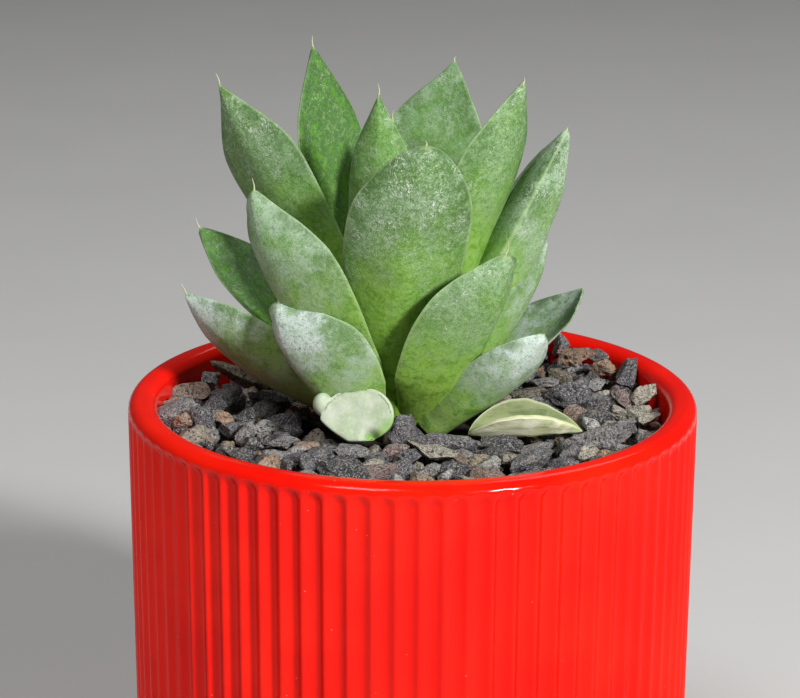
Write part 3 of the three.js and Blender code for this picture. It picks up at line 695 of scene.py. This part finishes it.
def make_leaf_mesh(name, leaf, seed):
    """A closed boat-shaped blade that runs out into a bristle."""
    rows = 56
    columns = 36
    edge = 0.3
    keel_softness = 0.08
    points = []
    marks = {"along": [], "across": [], "inner": []}

    def add_ring(ring, t):
        points.extend(ring)
        marks["along"].extend([t] * columns)
        marks["across"].extend(edges)
        marks["inner"].extend([1.0 if math.sin(turn) > 0.02 else 0.0 for turn in turns])

    turns = [2 * math.pi * j / columns for j in range(columns)]
    edges = [math.cos(a) for a in turns]
    stations = leaf_stations(leaf, rows)
    for t, place, along, across, inward in stations:
        drawn_out = 1 - leaf["sharp"] * max(0.0, (t - 0.8) / 0.2) ** 1.5
        wide = breadth(leaf, t) * drawn_out
        wave = 1 + 0.025 * noise.noise(Vector((seed * 3.1, t * 4.5, 0)))
        half = max(wide * leaf["width"] / 2 * wave, 0.16)
        depth = max(leaf["width"] * leaf["fat"] * wide ** 0.8 * (1 - 0.35 * t), 0.05)
        roundness = 1.8 - 0.5 * t
        rim_size = min(edge, half)
        cup = leaf["cup"] * leaf["width"] * wide
        lopsided = leaf["full"] * min(1, t / 0.3) * min(1, (1 - t) / 0.1)
        ring = []
        for turn, a in zip(turns, edges):
            rim = rim_size * math.sqrt(max(0.0, 1 - a ** 6))
            from_keel = math.sqrt(a ** 2 + keel_softness ** 2 * (1 - a ** 2))
            if math.sin(turn) >= 0:
                offset = rim - cup * (1 - a * a)
            else:
                offset = -rim - depth * (1 - from_keel ** roundness)
            sideways = half * a * (1 + lopsided * math.copysign(1, a))
            point = place + across * sideways + inward * offset
            swell = noise.noise(point / 6 + Vector((seed, 0, 0))) * 0.25
            swell += noise.noise(point / 2.2 + Vector((0, seed, 0))) * 0.06
            outward = inward if math.sin(turn) >= 0 else -inward
            ring.append(point + outward * swell * min(1, 2 * wide) * (1 - a ** 8))
        add_ring(ring, t)
    # The bristle bends upright from the tip, and aside by its curl.
    t, place, along, across, inward = stations[-1]
    bristle_steps = 8
    aim = (along + Vector((0, 0, 1))).normalized()
    for k in range(1, bristle_steps + 1):
        share = k / bristle_steps
        bend = across * leaf["curl"] * math.sin(share * 4) * 0.35
        centre = place + aim * leaf["awn"] * share + bend
        size = 0.12 * (1 - share) + 0.025
        add_ring([centre + across * size * math.cos(a) + inward * size * math.sin(a) for a in turns],
                 1.02 + share * 0.1)
    rings = len(points) // columns
    faces = bands(rings, columns)
    faces.append(tuple(reversed(range(columns))))
    faces.append(tuple((rings - 1) * columns + j for j in range(columns)))
    # Each leaf's frost, painted shadow, lime and worn values, for the skin to read.
    for key in ("frost", "shade", "lime", "worn"):
        marks[key] = [leaf[key]] * len(points)
    made = new_object(name, points, faces, marks)
    smooth(made, 75)
    return made


def make_leaves():
    skin = leaf_skin()
    for index, given in enumerate(LEAVES):
        leaf = {**LEAF, **given}
        node = f"leaf_{index + 1:02d}"
        blade = make_leaf_mesh(f"{node}_blade", leaf, index + 1)
        blade.data.materials.append(skin)
        settle(blade, "leaf_green", node)


def make_stunted_leaf():
    """A short thick stub whose flat dried face looks at the front, with a knob at its left."""
    facing = Vector((-0.12, -0.86, 0.5)).normalized()
    right = Vector((0, 0, 1)).cross(facing).normalized()
    up = facing.cross(right)
    middle = Vector((-7.6, -12.9, 75.35))
    rings = 40
    columns = 72
    reach_x = 5.1
    points = []
    for i in range(rings + 1):
        # From the middle of the face over the edge to the middle of the back.
        turn = math.pi * i / rings
        spread = math.sin(turn) ** 0.55 if 0 < i < rings else 0.0
        for j in range(columns):
            a = 2 * math.pi * j / columns
            reach_y = 4.4 if math.sin(a) > 0 else 3.2
            x = reach_x * spread * math.copysign(abs(math.cos(a)) ** 0.9, math.cos(a))
            y = reach_y * spread * math.sin(a) + 0.06 * x
            # Its lower left corner is cut off slantwise.
            y += max(-0.75 * x - y - 4.0, 0) * 0.7
            depth = 0.28 * math.cos(turn) if turn < math.pi / 2 else 2.6 * math.cos(turn)
            # The dried face sinks a little, and is notched low on its right.
            notch = 1.5 * math.exp(-((x - 2.2) ** 2 + (y + 2.5) ** 2) / 0.7)
            sunk = 0.35 * (1 - spread) + notch if turn < math.pi / 2 else 0.0
            point = middle + right * x + up * y + facing * (depth - sunk)
            points.append(point + facing * 0.12 * noise.noise(point / 1.6))
    body = new_object("stunted_leaf_body", points, bands(rings + 1, columns))
    shape = bmesh.new()
    shape.from_mesh(body.data)
    knob = middle + right * -5.0 + up * 1.9 + facing * -0.8
    bmesh.ops.create_icosphere(shape, subdivisions=4, radius=1.25 * MM,
                               matrix=Matrix.Translation(knob * MM) @ Matrix.Diagonal((1.1, 1.2, 1.3, 1)))
    bmesh.ops.remove_doubles(shape, verts=shape.verts, dist=0.001 * MM)
    bmesh.ops.recalc_face_normals(shape, faces=shape.faces)
    shape.to_mesh(body.data)
    shape.free()
    # One skin over stub and knob, smoothed where they meet.
    remesh = body.modifiers.new("one_skin", "REMESH")
    remesh.mode = "VOXEL"
    remesh.voxel_size = 0.14 * MM
    relax = body.modifiers.new("relax", "SMOOTH")
    relax.iterations = 9
    graph = bpy.context.evaluated_depsgraph_get()
    mesh = bpy.data.meshes.new_from_object(body.evaluated_get(graph))
    body.modifiers.clear()
    body.data = mesh
    marks = {"rightward": [], "upward": [], "forward": []}
    for vertex in mesh.vertices:
        offset = vertex.co / MM - middle
        marks["rightward"].append(offset.dot(right))
        marks["upward"].append(offset.dot(up))
        marks["forward"].append(offset.dot(facing))
    mark(mesh, marks)
    smooth(body)
    mesh.materials.clear()
    mesh.materials.append(pale_skin())
    settle(body, "pale_leaf", "stunted_leaf")


def make_withered_leaf():
    """A shrivelled leaf lying like a canoe: cream outside, olive inside, pointed at both ends."""
    left = Vector((7.7, -8.9, 71.8))
    right = Vector((23.6, -6.9, 71.7))
    rows = 64
    half_section = 18
    axis = (right - left).normalized()
    aside = Vector((0, 0, 1)).cross(axis).normalized()
    upward = Vector((0, 0, 1))
    wall = 0.28
    points = []
    marks = {"along": [], "across": [], "inner": []}
    # Once round the section: the outer skin from the near edge to the far one, then back inside.
    loop = [(-1 + 2 * j / half_section, 0) for j in range(half_section + 1)]
    loop += [(1 - 2 * j / half_section, 1) for j in range(half_section + 1)]
    for i in range(rows + 1):
        t = i / rows
        wide = max(math.sin(math.pi * t ** 0.9) ** 0.75, 0.03) if 0 < t < 1 else 0.03
        centre = left.lerp(right, t) + aside * (-0.9 * math.sin(math.pi * t))
        for side, inside in loop:
            wrinkle = noise.noise(Vector((t * 7, side * 2.2, 1))) * 0.3
            ridge = 0.1 * math.sin(side * 17 + t * 3) * wide
            width = 3.5 * wide + (0.25 * wrinkle if side > 0 else 0)
            tall = 2.9 * wide * (1.2 if side < 0 else 1.32)
            lean = 0.5 if side < 0 else 0.8
            y = width * math.copysign(abs(side) ** lean, side)
            z = tall * abs(side) ** 1.5 + wrinkle * wide + 0.35 * math.sin(math.pi * t)
            shift = (wall * wide + 0.06) * (-1 if inside else 1)
            push = aside * (side if abs(side) > 0.1 else 0) + upward * -0.6
            points.append(centre + aside * y + upward * z + push.normalized() * (shift + ridge))
            marks["along"].append(t)
            marks["across"].append(side)
            marks["inner"].append(float(inside))
    columns = len(loop)
    faces = bands(rows + 1, columns)
    faces.append(tuple(range(columns)))
    faces.append(tuple(reversed([rows * columns + j for j in range(columns)])))
    made = new_object("withered_leaf_body", points, faces, marks)
    shape = bmesh.new()
    shape.from_mesh(made.data)
    bmesh.ops.recalc_face_normals(shape, faces=shape.faces)
    shape.to_mesh(made.data)
    shape.free()
    smooth(made, 70)
    made.data.materials.append(dry_skin())
    settle(made, "dry_leaf", "withered_leaf")


# ------------------------------------------------------------------ grit


def stone_blank(random, subdivisions):
    """A crushed stone of unit length: a ball struck flat on several sides, with rough faces."""
    shape = bmesh.new()
    bmesh.ops.create_icosphere(shape, subdivisions=subdivisions, radius=1)
    blows = []
    for _ in range(10):
        direction = Vector(random.normal(size=3)).normalized()
        blows.append((direction, random.uniform(0.42, 0.8)))
    seed = Vector(random.uniform(-50, 50, 3))
    for vertex in shape.verts:
        point = vertex.co.copy()
        for direction, depth in blows:
            beyond = point.dot(direction) - depth
            if beyond > 0:
                point -= direction * beyond
        rough = 0.1 * noise.noise(point * 2.2 + seed) + 0.07 * noise.noise(point * 5 + seed)
        rough += 0.035 * noise.noise(point * 12 + seed)
        vertex.co = (point + vertex.co.normalized() * rough) * 0.6
    return shape


def stone_shapes(count):
    """Plain stones for strewing, in a collection of their own."""
    random = np.random.default_rng(11)
    collection = bpy.data.collections.new("stone_shapes")
    for index in range(count):
        shape = stone_blank(random, 2)
        stretch = Vector((1, random.uniform(0.62, 0.85), random.uniform(0.42, 0.68)))
        bmesh.ops.scale(shape, vec=stretch, verts=shape.verts)
        mesh = bpy.data.meshes.new(f"stone_shape_{index}")
        shape.to_mesh(mesh)
        shape.free()
        collection.objects.link(bpy.data.objects.new(mesh.name, mesh))
    return collection


def grit_level(x, y):
    """Height of the stones: heaped at the back right and a little at the left wall."""
    level = GRIT_LEVEL + GRIT_SLOPE * x
    for heap_x, heap_y, spread, height in GRIT_HEAPS:
        away = ((x - heap_x) ** 2 + (y - heap_y) ** 2) / (2 * spread ** 2)
        level += height * math.exp(-away)
    return level


def leaf_feet(height):
    """Circles round the leaves where they are below a height."""
    feet = []
    for given in LEAVES:
        leaf = {**LEAF, **given}
        for t, place, *_ in leaf_stations(leaf, 24):
            if place.z < height:
                feet.append((place.x, place.y, breadth(leaf, t) * leaf["width"] / 2))
    return feet


def grit_sheet(name, drop, edge, keep_clear=()):
    """The surface that stones are strewn on, without the circles that are kept clear."""
    step = 0.9
    count = int(edge / step) + 1
    rows = [[((i - count) * step, (j - count) * step) for i in range(2 * count + 1)]
            for j in range(2 * count + 1)]
    points = [(x, y, grit_level(x, y) - drop) for row in rows for x, y in row]
    width = 2 * count + 1
    faces = []
    for j in range(2 * count):
        for i in range(2 * count):
            x = rows[j][i][0] + step / 2
            y = rows[j][i][1] + step / 2
            free = all((x - u) ** 2 + (y - v) ** 2 > r * r for u, v, r in keep_clear)
            if free and x * x + y * y < edge * edge:
                first = j * width + i
                faces.append((first, first + 1, first + width + 1, first + width))
    made = new_object(name, points, faces)
    shape = bmesh.new()
    shape.from_mesh(made.data)
    bmesh.ops.delete(shape, geom=[v for v in shape.verts if not v.link_faces], context="VERTS")
    shape.to_mesh(made.data)
    shape.free()
    return made


def strewn_rule(name, shapes, spacing, smallest, largest, seed, material):
    """Stones of mixed sizes on a surface, no two centres nearer than the spacing."""
    rule = Rule(name, Spacing=spacing * MM, Smallest=smallest * MM, Largest=largest * MM, Seed=seed)
    seed_input = rule.given_input("Seed")
    points = rule.out(rule.node(
        "DistributePointsOnFaces", {"distribute_method": "POISSON"},
        Mesh=rule.given_input("Geometry"), Distance_Min=rule.given_input("Spacing"),
        Density_Max=400000.0, Seed=seed_input))

    def random_number(low, high, change):
        made = rule.node("FunctionNodeRandomValue", {"data_type": "FLOAT"},
                         _2=low, _3=high, Seed=seed_input + change)
        return rule.out(made, 1)

    share = random_number(0.0, 1.0, 1) ** 1.4
    length = rule.given_input("Smallest") + share * (
        rule.given_input("Largest") - rule.given_input("Smallest"))
    turn = rule.out(rule.node(
        "ShaderNodeCombineXYZ", _0=random_number(-0.6, 0.6, 2), _1=random_number(-0.6, 0.6, 3),
        _2=random_number(0.0, 2 * math.pi, 4)))
    gathered = rule.out(rule.node("CollectionInfo", Collection=shapes, Separate_Children=True,
                                  Reset_Children=True))
    stones = rule.out(rule.node("InstanceOnPoints", Points=points, Instance=gathered,
                                Pick_Instance=True, Rotation=turn, Scale=length))
    stones = rule.out(rule.node(
        "StoreNamedAttribute", {"data_type": "FLOAT", "domain": "INSTANCE"},
        Geometry=stones, Name="tone", Value=random_number(0.0, 1.0, 5)))
    return rule.finish(stones, material)


def make_chosen_stones(material):
    """The stones in plain view, each laid in its own place on the grit."""
    random = np.random.default_rng(23)
    points = []
    faces = []
    tones = []
    elevation = math.radians(17.6)
    view = Vector((0, -math.cos(elevation), math.sin(elevation)))
    for x, y, across, tall, tilt, tone in STONES:
        shape = stone_blank(random, 4)
        deep = min(across, 4.5) * random.uniform(0.7, 0.9)
        thick = max(tall - 0.3 * deep, 0.35 * across, 1.3)
        size = Vector((across, deep, thick)) * 1.12
        turned = (Matrix.Rotation(math.radians(-tilt), 3, -view)
                  @ Matrix.Rotation(random.uniform(-0.4, 0.4), 3, "Z"))
        middle = Vector((x, y, grit_level(x, y) + thick / 2 - 0.9))
        first = len(points)
        points.extend(middle + turned @ Vector(c * s for c, s in zip(v.co, size)) for v in shape.verts)
        faces.extend(tuple(first + v.index for v in face.verts) for face in shape.faces)
        tones.extend([TONES[tone][0] + 0.01] * len(shape.verts))
        shape.free()
    stones = new_object("chosen_stones", points, faces, {"tone": tones})
    smooth(stones, 30)
    stones.data.materials.append(material)
    settle(stones, "grit", "grit")


def make_grit():
    material = stone_faces()
    make_chosen_stones(material)
    shapes = stone_shapes(12)
    # Circles kept clear round the leaves' feet, the chosen stones and the two old leaves.
    feet = [(x, y, r + 0.8) for x, y, r in leaf_feet(POT_HEIGHT)]
    lying = [(x, y, 0.42 * across + 0.5) for x, y, across, *_ in STONES]
    withered = [(6.6 + 2 * i, -8.8 + 0.3 * i, 3.0) for i in range(9)] + [(-7.6, -10.6, 4.2)]
    # Name, depth, edge, spacing, smallest and largest length, seed and circles kept clear.
    layers = (
        ("large_stones", 0.7, 33.4, 4.1, 3.9, 7.2, 5, feet + lying + withered),
        ("small_stones", 1.8, 35.4, 2.0, 2.2, 3.9, 9, feet),
    )
    for name, drop, edge, spacing, smallest, largest, seed, clear in layers:
        rule = strewn_rule(name + "_rule", shapes, spacing, smallest, largest, seed, material)
        stones = grown(name, grit_sheet(name + "_sheet", drop, edge, clear), rule)
        smooth(stones, 24)
        settle(stones, "grit")
    bed = grit_sheet("grit_bed", 3.4, GRIT_EDGE)
    smooth(bed)
    bed.data.materials.append(dark_mix("grit_bed_crumbs"))
    thicken = bed.modifiers.new("thickness", "SOLIDIFY")
    thicken.thickness = 0.6 * MM
    settle(bed, "grit")
    for shape in list(shapes.objects):
        bpy.data.objects.remove(shape)
    bpy.data.collections.remove(shapes)


# ------------------------------------------------------------------ hidden pieces keep their solids


def finish_hidden_pieces():
    for node, material in (("potting_soil", dark_mix("potting_mix_crumbs")),
                           ("stem_and_roots", stem_fibre())):
        solid = frame["nodes"][node]
        solid.data.materials.clear()
        solid.data.materials.append(material)


# ------------------------------------------------------------------ floor, light and camera


def make_stage():
    floor_size = 3.2
    world_strength = 0.08
    bpy.ops.mesh.primitive_plane_add(size=floor_size, location=(0, 0, 0))
    floor = bpy.context.object
    floor.name = "floor"
    pale = Finish("pale_floor")
    pale.colour = pale.mix(pale.noise(60, 2), (0.56, 0.555, 0.545), (0.6, 0.595, 0.58))
    floor.data.materials.append(pale.finish(Roughness=0.9, Specular_IOR_Level=0.1))
    world = bpy.data.worlds.new("studio")
    world.use_nodes = True
    colour, strength = world.node_tree.nodes["Background"].inputs[:2]
    colour.default_value = (0.78, 0.79, 0.8, 1)
    strength.default_value = world_strength
    bpy.context.scene.world = world
    bpy.context.scene.view_settings.view_transform = "Standard"


def softbox(name, azimuth, elevation, distance, size, power):
    """A square area light, placed round the pot: azimuth 0 is the camera's side, 90 its right."""
    aim = Vector((0, 0, 0.085))
    a = math.radians(azimuth)
    e = math.radians(elevation)
    direction = Vector((math.sin(a) * math.cos(e), -math.cos(a) * math.cos(e), math.sin(e)))
    light = bpy.data.lights.new(name, "AREA")
    light.size = size
    light.energy = power
    made = bpy.data.objects.new(name, light)
    made.location = aim + direction * distance
    made.rotation_euler = direction.to_track_quat("Z", "Y").to_euler()
    bpy.context.scene.collection.objects.link(made)


def make_camera():
    elevation = math.radians(17.61)
    roll = math.radians(0.356)
    distance = 0.4
    pixels_per_metre = 7095          # at the rim's middle
    rim_in_frame = (12.9, -43.6)     # the rim's middle, in pixels right and up of the frame's middle
    frame_width = 800
    right = Vector((1, 0, 0))
    up = Vector((0, math.sin(elevation), math.cos(elevation)))
    back = Vector((0, -math.cos(elevation), math.sin(elevation)))
    rim = Vector((0, 0, POT_HEIGHT * MM))
    aim = rim - (right * rim_in_frame[0] + up * rim_in_frame[1]) / pixels_per_metre
    camera = bpy.data.cameras.new("camera")
    camera.sensor_width = 36
    camera.lens = camera.sensor_width * pixels_per_metre * distance / frame_width
    camera.clip_start = 0.01
    made = bpy.data.objects.new("camera", camera)
    place = rim + back * distance
    look = (aim - place).normalized()
    turned_up = (up - look * up.dot(look)).normalized()
    side = look.cross(turned_up)
    turned = Matrix((side, turned_up, -look)).transposed()
    made.matrix_world = Matrix.Translation(place) @ (Matrix.Rotation(-roll, 3, look) @ turned).to_4x4()
    bpy.context.scene.collection.objects.link(made)
    bpy.context.scene.camera = made


make_camera()
make_pot()
make_leaves()
make_stunted_leaf()
make_withered_leaf()
make_grit()
finish_hidden_pieces()
make_stage()
# Azimuth and elevation in degrees, distance and size in metres, power in watts.
softbox("key", 38, 27, 0.9, 0.12, 11.5)
softbox("fill", -30, 60, 1.0, 0.3, 4.8)
softbox("back", 160, 50, 1.0, 0.4, 1.2)
